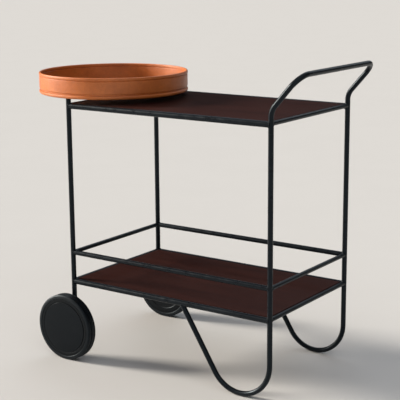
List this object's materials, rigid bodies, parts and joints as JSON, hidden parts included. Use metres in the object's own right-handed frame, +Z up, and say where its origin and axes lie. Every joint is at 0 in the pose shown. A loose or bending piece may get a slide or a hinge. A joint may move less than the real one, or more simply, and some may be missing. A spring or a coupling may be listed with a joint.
{
  "type": "bar cart",
  "caption": "Two-shelf bar cart with a black round-tube frame, wheels at one end, bent sled legs and push handle at the other, dark wood shelves and a lift-off round leather tray.",
  "frame": {"origin": "on the floor under the middle of the cart's bounding box", "axes": "+X from the wheels to the handle, +Y from the front side to the back side, +Z up"},
  "size_m": [0.9568, 0.503, 0.855],
  "materials": {
    "frame_steel": "satin black powder coat",
    "zinc_steel": "zinc plated",
    "dark_wood": "very dark brown stain, satin lacquer, grain along X",
    "wheel_plastic": "moulded, satin",
    "wheel_face": "moulded, satin",
    "tyre_rubber": "solid black rubber",
    "plug_rubber": "moulded",
    "bush_plastic": "moulded, unpainted",
    "tan_leather": "tan saddle leather over a bent wood hoop, satin",
    "brown_leather": "brown leather lining, matt"
  },
  "bodies": {
    "root": {"front_left_post": "frame_steel", "front_right_upright": "frame_steel", "back_left_post": "frame_steel", "back_right_upright": "frame_steel", "handle_bow": "frame_steel", "front_handle_spigot": "zinc_steel", "back_handle_spigot": "zinc_steel", "top_front_rail": "frame_steel", "top_back_rail": "frame_steel", "top_left_rail": "frame_steel", "top_right_rail": "frame_steel", "lower_front_rail": "frame_steel", "lower_back_rail": "frame_steel", "lower_left_rail": "frame_steel", "lower_right_rail": "frame_steel", "guard_front_rail": "frame_steel", "guard_back_rail": "frame_steel", "guard_left_rail": "frame_steel", "guard_right_rail": "frame_steel", "top_board": "dark_wood", "top_left_bearer": "frame_steel", "top_right_bearer": "frame_steel", "top_board_screw_1": "zinc_steel", "top_board_screw_2": "zinc_steel", "top_board_screw_3": "zinc_steel", "top_board_screw_4": "zinc_steel", "lower_board": "dark_wood", "lower_left_bearer": "frame_steel", "lower_right_bearer": "frame_steel", "lower_board_screw_1": "zinc_steel", "lower_board_screw_2": "zinc_steel", "lower_board_screw_3": "zinc_steel", "lower_board_screw_4": "zinc_steel", "front_post_top_plug": "plug_rubber", "front_post_foot_plug": "plug_rubber", "front_axle_bolt": "zinc_steel", "front_axle_boss": "frame_steel", "front_axle_washer": "zinc_steel", "front_axle_nut": "zinc_steel", "back_post_top_plug": "plug_rubber", "back_post_foot_plug": "plug_rubber", "back_axle_bolt": "zinc_steel", "back_axle_boss": "frame_steel", "back_axle_washer": "zinc_steel", "back_axle_nut": "zinc_steel"},
    "front_wheel": {"front_wheel_tyre": "tyre_rubber", "front_wheel_core": "wheel_plastic", "front_wheel_cover": "wheel_face", "front_wheel_inner_bush": "bush_plastic", "front_wheel_outer_bush": "bush_plastic"},
    "back_wheel": {"back_wheel_tyre": "tyre_rubber", "back_wheel_core": "wheel_plastic", "back_wheel_cover": "wheel_face", "back_wheel_inner_bush": "bush_plastic", "back_wheel_outer_bush": "bush_plastic"},
    "tray": {"tray_base": "tan_leather", "tray_hoop": "tan_leather", "tray_liner": "brown_leather"}
  },
  "joints": [
    {"name": "front_wheel_spin", "type": "hinge", "parent": "root", "child": "front_wheel", "pos_m": [-0.2631, -0.1995, 0.0948], "axis": [0, 1, 0], "continuous": true},
    {"name": "back_wheel_spin", "type": "hinge", "parent": "root", "child": "back_wheel", "pos_m": [-0.2631, 0.1995, 0.0948], "axis": [0, 1, 0], "continuous": true},
    {"name": "tray_lift", "type": "slide", "parent": "root", "child": "tray", "axis": [0, 0, 1], "range_m": [0, 0.08]}
  ]
}
